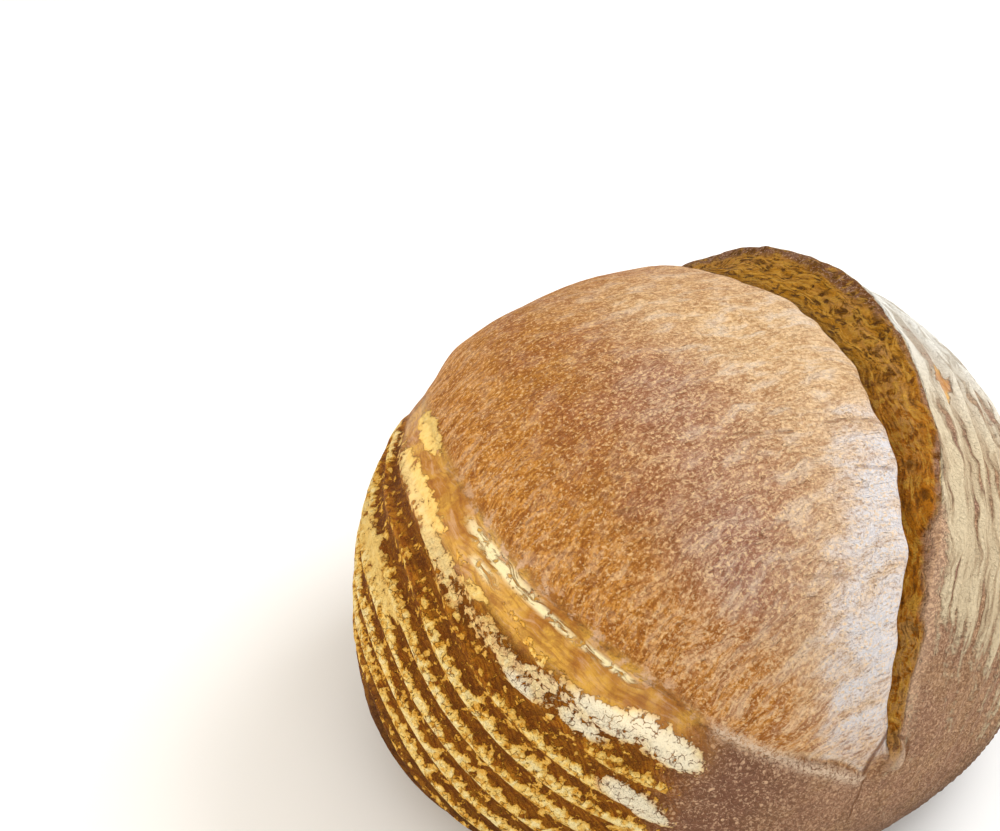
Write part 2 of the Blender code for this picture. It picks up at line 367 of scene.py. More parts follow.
def beside(x, y, places, scale):
    """Signed distance in millimetres from a broken line, and 1 beside it, 0 past its ends.

    The line runs through places, and scale gives millimetres for each unit of x and y.
    """
    nearest = np.full(x.shape, 99.0)
    past = np.zeros(x.shape)
    pieces = len(places) - 1
    for i, (start, end) in enumerate(zip(places, places[1:])):
        ahead, aside = (np.array(end) - start) * scale
        from_x, from_y = (x - start[0]) * scale[0], (y - start[1]) * scale[1]
        length = math.hypot(ahead, aside)
        share = (from_x * ahead + from_y * aside) / length**2
        held = np.clip(share, 0.0, 1.0)
        away = np.hypot(from_x - held * ahead, from_y - held * aside)
        nearer = away < np.abs(nearest)
        side = np.where(ahead * from_y > aside * from_x, 1.0, -1.0)
        nearest = np.where(nearer, side * away, nearest)
        before = -share * length if i == 0 else 0 * share
        after = (share - 1) * length if i == pieces - 1 else 0 * share
        past = np.where(nearer, np.maximum(before, after), past)
    return nearest, smooth(1.0, 0.0, past)


def crust(v, turn, shape):
    """The crust's points for v in degrees and turn in radians, its zones and its flow.

    The point is the dome's, pushed out along its direction by the sum of the bloom, the
    gap and ear, the rings and the fine relief, and sideways where the bloom overhangs
    and the lip leans. The zones say what each point of the skin is, most from 0 to 1, and
    some say where shade and highlights are painted. The flow is the way run along the score,
    and those from the bloom's edge and its shore.
    """
    across, ahead, up = score_axes()
    tilt = np.radians(v)
    direction = (
        (np.cos(tilt) * np.sin(turn))[..., None] * across
        + (np.cos(tilt) * np.cos(turn))[..., None] * up
        + np.sin(tilt)[..., None] * ahead
    )
    sideways = np.cos(turn)[..., None] * across - np.sin(turn)[..., None] * up
    shore, edge, tip, metres = score_lines(v)
    from_shore = (turn - shore) * metres
    from_edge = (turn - edge) * metres
    from_tip = (turn - tip) * metres
    width = np.maximum((edge - shore) * metres, 1e-4)
    torn = np.maximum((tip - edge) * metres, 1e-4)
    ear = np.maximum(along(4, v), 0.0) * 0.001
    open_share = smooth(*FRONT_END, v) * (1 - smooth(*BACK_END, v))

    # The bloom rises from its left shore and rolls over its right edge into the gap.
    far_back = smooth(*SHORE_FADE, v)
    slope = BLOOM_SLOPE + (BLOOM_SLOPE_BACK - BLOOM_SLOPE) * far_back
    bloom = BLOOM_RISE * open_share * smooth(0.0, np.maximum(slope * width, 1e-3), from_shore)
    floor = -GAP_DEPTH * open_share
    roll = np.minimum(ROLL, ROLL_SHARE * width)
    under = math.cos(math.pi / 2 + UNDERCUT)
    middle = (floor - under * bloom) / (1 - under)
    bend = np.clip(1 + from_edge / roll, 0.0, 1.0) * (math.pi / 2 + UNDERCUT * open_share)
    in_roll = (from_edge > -roll) & (from_edge <= 0)
    height = np.where(in_roll, middle + (bloom - middle) * np.cos(bend), bloom)
    shift = np.where(in_roll, (-roll + roll * np.sin(bend) - from_edge) * open_share, 0.0)

    # The torn face climbs from the foot of the bloom to the ear's tip.
    climb = np.clip(from_edge / torn, 0.0, 1.0)
    in_gap = from_edge > 0
    foot = -roll * (1 - math.cos(UNDERCUT)) * open_share
    height = np.where(in_gap, floor + (ear - floor) * climb**GAP_SWEEP, height)
    shift = np.where(in_gap, foot * (1 - climb), shift)

    # Outside the tip the ear's flap runs down into the side of the loaf.
    beyond = np.maximum(from_tip, 0.0)
    flap = ear * np.exp(-beyond / EAR_RUN) * (1 - smooth(*EAR_FADE, beyond))
    height = np.where(from_tip > 0, flap, height)
    shift = np.where(from_tip > 0, 0.0, shift)
    lifted = np.clip(ear / FULL_EAR, 0.0, 1.0)
    height = height + LIP_HEIGHT * lifted * bump(from_tip, LIP_WIDTH)
    height = height - LIP_SHADE * lifted * in_gap * bump(from_tip + 2 * LIP_WIDTH, LIP_WIDTH)
    lean = LIP_LEAN * lifted * bump(from_tip, 2 * LIP_WIDTH)
    shift = shift - lean * smooth(0.0, 0.3 * torn, from_edge)

    # The left shore: a shallow valley with a low rim outside it, level towards the back.
    height = np.where(from_shore < 0, 0.0, height)
    shallow = open_share * (1 - far_back)
    height = height - VALLEY_DEPTH * shallow * bump(from_shore, VALLEY_WIDTH)
    height = height + SHORE_HEIGHT * shallow * bump(from_shore + SHORE_OUT, VALLEY_WIDTH)

    # Rings on the skin outside the score, fading low down and at the bare front.
    left_skin = smooth(RING_CLEAR, 2 * RING_CLEAR, -from_shore)
    right_skin = smooth(0.5 * RING_CLEAR, 2 * RING_CLEAR, from_tip)
    plain = dome(direction)
    heading = np.arctan2(plain[..., 1], plain[..., 0])
    bare = bump(np.angle(np.exp(1j * (heading - BARE_TO))), BARE_HALF)
    skin = np.maximum(left_skin, right_skin) * (1 - BARE_SHARE * bare)
    skin = skin * smooth(RING_FROM, RING_FULL, plain[..., 2] + WIDEST)
    wave = ring_wave(direction, v, from_tip)
    height = height + skin * shape.ring_depth * wave + unevenness(direction)

    # Places on the skin: millimetres out from the shore and the tip, and noises over it.
    run = np.radians(v) * MEAN_RADIUS
    drawn = np.stack([run, from_edge, np.zeros_like(run)], axis=-1)
    out_left, out_right = -1000 * from_shore, 1000 * from_tip
    above = plain[..., 2] + WIDEST
    wander = layered(plain, 0.009, 11)
    patchy = layered(plain, 0.024, 91)
    loose_v = v + 8 * patchy
    right_share = (from_tip > 0) * (1 - smooth(35, 65, v) * smooth(1.5, 2.6, turn))
    left_share = 1 - right_share
    closing = smooth(-50, -58, v)

    # The bloom, the gap, the lip and the stretched strip outside the shore.
    in_bloom = smooth(-0.0015, 0.0015, from_shore + 0.0022 * wander) * (from_edge <= 0)
    in_bloom = in_bloom * smooth(-84, -77, v + 3 * wander) * (1 - smooth(72, 84, v))
    set_in = 0.0050 * smooth(-39, -49, v) * smooth(0.007, 0.011, torn)
    lip_line = from_tip + set_in + 0.0010 * wander - 0.0016 * closing
    on_gap = smooth(-0.0006, 0.0004, from_edge) * smooth(0.0004, -0.0012, lip_line)
    on_gap = on_gap * smooth(0.0006, 0.003, torn)
    lip_reach = 0.0018 + 0.0024 * smooth(-12, 8, v) + 0.0026 * smooth(24, 48, v)
    on_lip = smooth(-lip_reach, 0.002 - lip_reach, lip_line)
    on_lip = on_lip * smooth(0.0010, -0.0006, lip_line - 0.0018 * wander)
    on_lip = on_lip * smooth(0.002, 0.006, torn) * smooth(-56, -40, v + 4 * wander) * in_gap
    past_lip = from_tip + 0.0060 * smooth(-52, -32, v)
    rim = (1 - 0.7 * smooth(10, 35, v)) * smooth(-0.0018, 0.0008, lip_line)
    rim = rim * smooth(0.0075, 0.002, past_lip + 0.003 * wander) * smooth(0.001, 0.005, torn)
    amber = smooth(15.5, 11.0, out_left + 3.0 * wander + np.clip(v - 5, 0, 20) * 0.25)
    amber = amber * smooth(-3.5, 0.0, out_left) * smooth(-60, -44, v) * (1 - smooth(22, 36, v))
    pale_tear = in_gap * bump(from_tip + 0.0065, 0.0030)
    pale_tear = pale_tear * smooth(-45, -25, v) * (1 - smooth(25, 50, v))
    pale_tear = pale_tear * smooth(-0.6, 0.1, layered(drawn, (0.012, 0.004, 1.0), 27, 2))

    # Fine relief: lumps in the bloom, strands and a ledge in the gap, a rough lip.
    strands = layered(drawn, (0.0110, 0.0030, 1.0), 21) + 0.8 * layered(plain, 0.0060, 24)
    depth_share = smooth(0.002, 0.010, torn)
    fine = shape.bloom_lumps * in_bloom * layered(plain, 0.020, 31, 2)
    fine += 0.4 * shape.bloom_lumps * in_bloom * layered(drawn, (0.004, 0.010, 1.0), 34, 2)
    fine += shape.tear_depth * on_gap * depth_share * strands
    ledge = bump(from_tip + 0.0060, 0.0022) - 1.3 * bump(from_tip + 0.0105 + 0.002 * wander, 0.0026)
    fine += LEDGE_HEIGHT * in_gap * smooth(0.008, 0.016, torn) * ledge
    fine += LIP_LUMPS * on_lip * depth_share * layered(plain, 0.0040, 41, 2)
    outside = np.clip(1 - in_bloom - on_gap - on_lip, 0.0, 1.0)
    fine += SKIN_LUMPS * outside * (1 - 0.6 * amber) * layered(plain, 0.010, 51)
    bridge = bump(v - STRAND_AT + 1.5 * wander, 1.3) * in_gap
    bridge = bridge * smooth(0.0004, 0.0020, np.minimum(from_edge, -from_tip))
    fine += STRAND_HEIGHT * bridge

    # A small blister of dough at the score's front end, and the pale ridge beside it.
    degrees = np.degrees(heading)
    turned = (degrees + 360) % 360
    rise_angle = np.degrees(np.arcsin(np.clip(direction[..., 2], -1.0, 1.0)))
    per_degree = math.radians(1) * MEAN_RADIUS * 1000
    globe = (0.97 * per_degree, per_degree)
    off_x = (degrees - BLISTER[0]) * globe[0] / BLISTER_HALVES[0]
    off_y = (rise_angle - BLISTER[1]) * globe[1] / BLISTER_HALVES[1]
    knob = smooth(1.25, 0.65, np.hypot(off_x, off_y))
    fine += BLISTER_HEIGHT * knob
    ridge_away, ridge_share = beside(degrees, rise_angle, RIDGE, globe)
    ridge_line = bump(ridge_away + 1.2 * wander, 2.2) * ridge_share
    fine += RIDGE_HEIGHT * ridge_line

    # Creases: the distance from the nearest one as a multiple of its half width.
    inward = -1000 * from_edge
    crease, creased = np.full(v.shape, 9.0), np.zeros(v.shape)
    lines = [(v, inward, places, (per_degree, 1.0), 0.50, 0.45 * in_bloom) for places in CREASES]
    front_lines = ((FRONT_CREASE, 0.75, 1.0), (HAIRLINE, 0.28, 0.8), (BLISTER_LINE, 0.45, 0.9))
    for places, half, allowed in front_lines:
        lines.append((degrees, rise_angle, places, globe, half, allowed))
    for x, y, places, scale, half, allowed in lines:
        away, share = beside(x, y, places, scale)
        away = (away + 0.5 * layered(plain, 0.004, 101, 2)) / half
        nearer = (np.abs(away) < np.abs(crease)) & (share * allowed > 0)
        crease = np.where(nearer, away, crease)
        creased = np.where(nearer, share * allowed, creased)

    # Flour on the left lies along the ridges, with cakes and plates near the shore.
    ridge = smooth(-1.0, 0.6, wave + 0.80 * layered(plain, 0.008, 64))
    reach = smooth(126, 165, turned + 12 * patchy) * smooth(-56, -50, v + 3 * wander)
    reach = reach * smooth(4, 16, out_left)
    thin = 1.18 - 0.45 * smooth(30, 14, out_left) * smooth(30, 10, v)
    thin = thin * (1 - 0.6 * bump(v - 2, 14) * bump(out_left - 22, 8))
    left = ridge * reach * thin * (0.92 + 0.30 * patchy)
    table = np.array(CLUMPS, float)
    band_out, band_half, band_cover = (np.interp(v, table[:, 0], table[:, i]) for i in (1, 2, 3))
    band = band_cover * smooth(1.5, 0.5, np.abs(out_left - band_out + 1.5 * wander) / band_half)
    left = left * (1 - 0.7 * bump(out_left - band_out - 8, 4) * (band_cover > 0.3))
    left = np.maximum(np.maximum(left, band), 0.24 * reach * smooth(10, 20, out_left))
    cake = spots(v, out_left, CAKES, 0.9 * wander)
    plate = spots(v, out_left, PLATES, 0.9 * wander)
    streak = spots(v, out_left, STREAKS, 0.5 * wander)

    # Flour on the ear's flap lies in long strands, with ragged fingers at the front.
    fingers = layered(np.stack([run, from_tip, 0 * run], axis=-1), (0.030, 0.0035, 1.0), 71, 2)
    front_line = v - 4 * fingers + 0.35 * np.clip(out_right - 8, 0, 12)
    right = smooth(0.001, 0.0065, past_lip + 0.002 * wander) * smooth(-65, -47, front_line)
    striped = smooth(-0.5, 0.6, wave + 0.8 * layered(plain, 0.009, 67))
    right = right * (1 - 0.9 * (1 - striped) * smooth(26, 52, out_right + 6 * wander))
    right = right * (1 - smooth(50, 78, v + 6 * fingers))
    right = right * smooth(0.012, 0.050, above + 0.008 * patchy)
    flour = left * (from_shore < 0) + right * right_share
    flour = np.maximum(flour, np.maximum(0.95 * cake, plate) * (from_shore < 0.006))

    # It stops above the foot, higher up at the left and the back, and at the bare spot. The higher stop
    # at the left and the back bares the dark skin there as painted shade.
    level = above + 0.005 * patchy
    stops = 0.001 * np.interp(turned, (0, 95, 150, 200, 214, 245, 262), (12, 12, 30, 46, 50, 22, 12))
    foot_fade = smooth(-0.020, 0.006, level - stops)
    shaded = np.interp(turned, (100, 160, 262, 285), (0.0, 1.0, 1.0, 0.0)) * (1 - foot_fade)
    flour = flour * foot_fade
    at_v, at_out, half_v, half_out = BARE_SPOT
    bare_spot = np.exp(-np.abs(v - at_v) / half_v - np.abs(out_right - at_out) / half_out)
    bare_spot = smooth(0.30, 0.42, bare_spot * (from_tip > 0))
    flour = flour * (1 - bare_spot)
    thick = smooth(0.35, 0.7, flour) * (1 + 0.4 * layered(plain, 0.004, 81, 2))
    fine += shape.flour_depth * (thick * (0.5 + 0.5 * left_share) + 1.2 * cake + 1.0 * plate)
    height = height + fine * smooth(0.0, 0.010, above)

    # The point, and a soft turn from the side into the flat base.
    points = plain + height[..., None] * direction + shift[..., None] * sideways
    lifted_by = points[..., 2] + WIDEST
    blended = (lifted_by + BASE_BLEND) ** 2 / (4 * BASE_BLEND)
    settled = np.where(lifted_by < -BASE_BLEND, 0.0, blended)
    points[..., 2] = np.where(lifted_by > BASE_BLEND, lifted_by, settled)

    # Broad tones of the bloom, by v and millimetres in from its edge. Pale is paler crust near the
    # bloom's right edge with a painted highlight of the cool key light on it.
    near = inward + 8 * patchy
    pale = smooth(40, 6, near) * (0.82 + 0.26 * smooth(-76, -58, v)) * smooth(-14, -38, loose_v)
    pale = pale + 0.22 * smooth(30, 8, near) * smooth(-30, -10, v) * smooth(60, 30, v)
    tan = smooth(88, 34, inward + 14 * patchy) * (0.80 + 0.20 * smooth(-34, -8, v + 10 * patchy))
    tan = np.maximum(tan * smooth(42, 2, loose_v), 0.75 * smooth(-46, -62, v + 5 * patchy))
    mauve = bump(v + 40 + 6 * patchy, 22) * bump(inward - 53, 26)
    mauve = mauve + 0.7 * bump(v + 8, 14) * bump(inward - 64, 18)
    gold = smooth(0.001, 0.004, from_shore) * smooth(0.034, 0.013, from_shore + 0.006 * patchy)
    pink = bump(from_shore - 0.0012 + 0.0015 * wander, 0.0028) * smooth(-66, -50, v)
    # Painted shade in the gap, along the bloom's foot and towards the back of the score.
    deep = np.maximum(smooth(0.45, 0.0, climb), 0.8 * smooth(44, 60, v)) * on_gap
    dark = smooth(6, -10, degrees + 70 + 6 * patchy) * (1 - ridge_line)
    zones = {
        "bloom": in_bloom,
        "gap": on_gap,
        "lip": on_lip,
        "rim": rim,
        "flour": flour,
        "cake": np.maximum.reduce([cake, streak, band * (0.35 + 0.65 * smooth(-14, -42, v))]),
        "plate": plate,
        "streak": streak,
        "strand": right_share,
        "amber": np.maximum(amber, bare_spot),
        "groove": smooth(0.5, -0.7, wave) * np.clip(skin, 0, 1),
        "front": smooth(-48, -58, v) * outside,
        "flank": right_share,
        "pale": pale * in_bloom,
        "tan": tan * in_bloom,
        "mauve": np.clip(mauve, 0, 1) * in_bloom,
        "gold": gold * in_bloom,
        "pink": pink * smooth(12, -12, v),
        "pale_tear": np.clip(pale_tear, 0, 1) + bridge + 1.3 * in_gap * smooth(-50, -60, v),
        "orange": on_gap * smooth(-5, -30, loose_v),
        "deep": deep * (1 - 0.8 * closing),
        "knob": knob,
        "crease": np.clip(crease, -9, 9),
        "creased": creased,
        "ridge": ridge_line,
        "crack": 0.9 * smooth(2, -34, v),
        "dark": dark * smooth(-106, -88, degrees + 16 * patchy),
        # low: painted shade, darker towards the foot all round and darkest where the flour stops at the
        # left and the back
        "low": np.maximum(smooth(0.045, 0.010, level), 0.85 * shaded),
    }
    return points, zones, np.stack([run, from_edge, from_shore], axis=-1)


def spread_turns(share, v):
    """Turns for equal shares of a circle, closest together on the gap and the lip."""
    shore, edge, tip, metres = score_lines(v)
    width = (edge - shore) * metres
    roll = np.minimum(ROLL, ROLL_SHARE * width) / metres
    lip_out = np.minimum(LIP_SPAN / metres, 0.5)
    none = np.zeros_like(shore)
    left_under = np.minimum(-UNDER_TURN + none, shore - 0.2)
    right_under = np.maximum(UNDER_TURN + none, tip + lip_out + 0.2)
    middle = tip - np.minimum(0.35 * (tip - edge), 0.5 * lip_out)
    stops = [none - math.pi, left_under, shore, edge - roll, edge]
    stops += [middle, tip + lip_out, right_under, none + math.pi]
    ends = np.cumsum((0.0,) + SHARES)
    turn = np.zeros_like(share)
    for low, high, start, end in zip(stops, stops[1:], ends, ends[1:]):
        inside = (share >= start) & (share <= end)
        turn = np.where(inside, low + (high - low) * (share - start) / (end - start), turn)
    return turn


def closed_grid(rows, round_steps):
    """Faces of a closed grid: rows of points with one point at each pole, after them."""
    i, j = np.meshgrid(np.arange(rows - 1), np.arange(round_steps), indexing="ij")
    after = (j + 1) % round_steps
    here, there = i * round_steps, (i + 1) * round_steps
    quads = np.stack([here + j, here + after, there + after, there + j], axis=-1).reshape(-1, 4)
    first, last = rows * round_steps, rows * round_steps + 1
    j = np.arange(round_steps)
    after = (j + 1) % round_steps
    top = (rows - 1) * round_steps
    front = np.stack([np.full(round_steps, first), after, j], axis=-1)
    back = np.stack([np.full(round_steps, last), top + j, top + after], axis=-1)
    return quads, np.concatenate([front, back])


def make_mesh(name, points, quads, triangles):
    """A smooth-shaded mesh from whole arrays of points, quads and triangles."""
    mesh = bpy.data.meshes.new(name)
    mesh.vertices.add(len(points))
    mesh.vertices.foreach_set("co", points.astype(np.float32).ravel())
    corners = np.concatenate([quads.ravel(), triangles.ravel()]).astype(np.int32)
    mesh.loops.add(len(corners))
    mesh.loops.foreach_set("vertex_index", corners)
    mesh.polygons.add(len(quads) + len(triangles))
    starts = np.concatenate([np.arange(len(quads)) * 4, quads.size + np.arange(len(triangles)) * 3])
    mesh.polygons.foreach_set("loop_start", starts.astype(np.int32))
    mesh.update(calc_edges=True)
    mesh.validate()
    mesh.polygons.foreach_set("use_smooth", [True] * len(mesh.polygons))
    return mesh


# Recipes for nodes: the kind, its settings and the output that is wanted.
APART, LESS, MORE, PLUS, TIMES = (
    ("ShaderNodeMath", {"operation": name}, 0)
    for name in ("ABSOLUTE", "SUBTRACT", "MAXIMUM", "ADD", "MULTIPLY")
)
SCALE, SUM = (("ShaderNodeVectorMath", {"operation": name}, 0) for name in ("SCALE", "ADD"))
CELLS = ("ShaderNodeTexVoronoi", {"feature": "F1"}, "Distance")
CELL_EDGES = ("ShaderNodeTexVoronoi", {"feature": "DISTANCE_TO_EDGE"}, "Distance")
ATTRIBUTE = ("ShaderNodeAttribute", {}, "Fac")
BUMP = ("ShaderNodeBump", {}, 0)
MEAN = ("ShaderNodeMix", {"data_type": "FLOAT"}, 0)
NOISE = ("ShaderNodeTexNoise", {}, 0)
OVER = ("ShaderNodeMix", {"data_type": "RGBA"}, 2)
STEP = ("ShaderNodeMapRange", {"interpolation_type": "SMOOTHSTEP"}, 0)
STRETCH = ("ShaderNodeMapping", {}, 0)


def add_node(tree, recipe, *inputs, out=None, **settings):
    """Add a node by its recipe, make its settings, fill its sockets and return an output.

    The inputs fill the node's working sockets in order, or one dict fills them by name. A
    value is a number, a colour in hex, or an output of another node, which is linked.
    """
    kind, usual, wanted = recipe
    node = tree.nodes.new(kind)
    for key, value in {**usual, **settings}.items():
        setattr(node, key, value)
    if inputs and isinstance(inputs[0], dict):
        pairs = [(node.inputs[name], value) for name, value in inputs[0].items()]
    else:
        pairs = list(zip([socket for socket in node.inputs if socket.enabled], inputs))
    for socket, value in pairs:
        if isinstance(value, bpy.types.NodeSocket):
            tree.links.new(value, socket)
        else:
            socket.default_value = linear(value) if isinstance(value, str) else value
    return node.outputs[wanted if out is None else out] if node.outputs else node


def crust_material(finish, zones):
    """Browned wheat crust under rye flour: matt, mottled, with pale torn gluten strands.

    The eye gets a dry felt of fine pale fibres on the bloom, ochre crumb drawn out in the gap,
    a glossier stretched strip by the shore, and chalky flour, thickest on the left. Shade is
    painted low on the sides, deep in the gap and in the creases, and highlights are painted as
    bright flecks, as a sheen on the strip's streaks and along the bloom's right edge.
    Each noise keeps within about 0.15 of 0.5, so its steps are narrow.
    """
    material = bpy.data.materials.new("browned_floured_crust")
    material.use_nodes = True
    tree = material.node_tree
    tree.nodes.clear()
    add = functools.partial(add_node, tree)
    place = add(("ShaderNodeTexCoord", {}, "Object"))
    flow = add(ATTRIBUTE, out="Vector", attribute_name="flow")
    zone = types.SimpleNamespace(**{name: add(ATTRIBUTE, attribute_name=name) for name in zones})

    # Noises over the skin, by the size of their lumps: 14 mm, 4.5 mm, 2.4 mm, 0.9 mm.
    broad = add(NOISE, place, 1 / 0.014, 3.0, 0.55)
    mottle = add(NOISE, place, 1 / 0.0045, 4.0, 0.62)
    clump = add(NOISE, place, 1 / 0.0024, 3.0, 0.58)
    fleck = add(NOISE, place, 1 / 0.0009, 2.0, 0.6)
    # Distorted ones: curls of gluten 0.9 mm across, and crumb of 3 mm.
    curl = add(NOISE, place, 1 / 0.0009, 3.0, 0.65, 2.0, 0.9)
    crumb = add(NOISE, place, 1 / 0.0030, 5.0, 0.68, 2.0, 0.6)
    # Noises drawn out over the flow, by cells in metres along the score, across it from
    # the bloom's edge and from its shore: fibres of 0.8 by 2.6 mm that lean across, smears
    # and a comb across, strands along, the strip's grain and the flour's long lines.
    twist = add(NOISE, place, 1 / 0.016, 2.0, out="Color")
    bent = add(SUM, flow, add(SCALE, {0: twist, "Scale": 0.008}))
    fibre, smear, comb, strand, grainy, lines = (
        add(NOISE, add(STRETCH, {"Vector": bent, "Scale": scale}), 1.0, detail, roughness)
        for scale, detail, roughness in (
            ((1 / 0.0008, 1 / 0.0026, 1.0), 3.0, 0.62),
            ((1 / 0.0055, 1 / 0.0120, 1.0), 3.0, 0.6),
            ((1 / 0.0026, 1 / 0.0110, 1.0), 4.0, 0.62),
            ((1 / 0.0055, 1 / 0.0012, 1.0), 4.0, 0.62),
            ((1 / 0.0110, 0.0, 1 / 0.0013), 4.0, 0.62),
            ((1 / 0.0300, 1 / 0.0036, 1.0), 4.0, 0.6),
        )
    )
    weave = add(MEAN, 0.5, fibre, curl)

    # Specks 1.8 mm apart, the bloom's floury edge, which is paler crust with a painted highlight,
    # and the creases, which take painted shade.
    dots = add(CELLS, {"Vector": place, "Scale": 1 / 0.0018})
    dot = add(TIMES, add(STEP, dots, 0.38, 0.22), add(STEP, mottle, 0.45, 0.53))
    lift = add(PLUS, add(TIMES, add(LESS, weave, 0.5), 2.4), add(TIMES, add(LESS, smear, 0.5), 2.7))
    white = add(STEP, add(TIMES, zone.pale, add(PLUS, 1.0, lift)), 0.20, 1.20)
    softer = add(LESS, 1.0, add(MORE, add(TIMES, white, 0.70), add(TIMES, zone.tan, 0.42)))
    # Where the creases are: they take relief and painted shade.
    fold = add(TIMES, zone.creased, add(STEP, add(APART, zone.crease), 1.8, 0.3))
    fold = add(TIMES, fold, add(STEP, curl, 0.30, 0.42))

    # Flour: granules 2 mm across on the left, long soft strands on the ear's flap.
    jitter = add(SCALE, {0: add(NOISE, place, 1 / 0.002, 2.0, out="Color"), "Scale": 0.0016})
    shaken = {"Vector": add(SUM, place, jitter), "Scale": 1 / 0.0021}
    grain = add(("ShaderNodeSeparateColor", {}, 0), add(CELLS, shaken, out="Color"))
    seams = add(CELL_EDGES, shaken)
    loose = add(PLUS, add(TIMES, add(LESS, grain, 0.5), 0.60), add(TIMES, add(LESS, clump, 0.5), 2.2))
    heap = add(TIMES, add(PLUS, zone.flour, loose), add(STEP, zone.flour, 0.05, 0.25))
    split = add(TIMES, add(STEP, seams, 0.060, 0.015), add(STEP, clump, 0.56, 0.46))
    split = add(TIMES, split, add(LESS, 0.80, add(TIMES, zone.plate, 0.70)))
    cover_left = add(LESS, add(STEP, heap, 0.40, 0.56), split, use_clamp=True)
    spread = add(PLUS, zone.flour, add(TIMES, add(LESS, lines, 0.5), 1.6))
    spread = add(PLUS, spread, add(TIMES, add(LESS, clump, 0.5), 1.4))
    cracks = add(TIMES, add(STEP, lines, 0.43, 0.39), zone.crack)
    cover_right = add(TIMES, add(STEP, spread, 0.14, 0.80), add(LESS, 1.0, cracks))
    cover = add(MEAN, zone.strand, cover_left, cover_right)
    dusted = add(TIMES, zone.streak, add(STEP, grainy, 0.40, 0.50))
    cover = add(MORE, cover, add(TIMES, dusted, add(STEP, clump, 0.36, 0.46)))

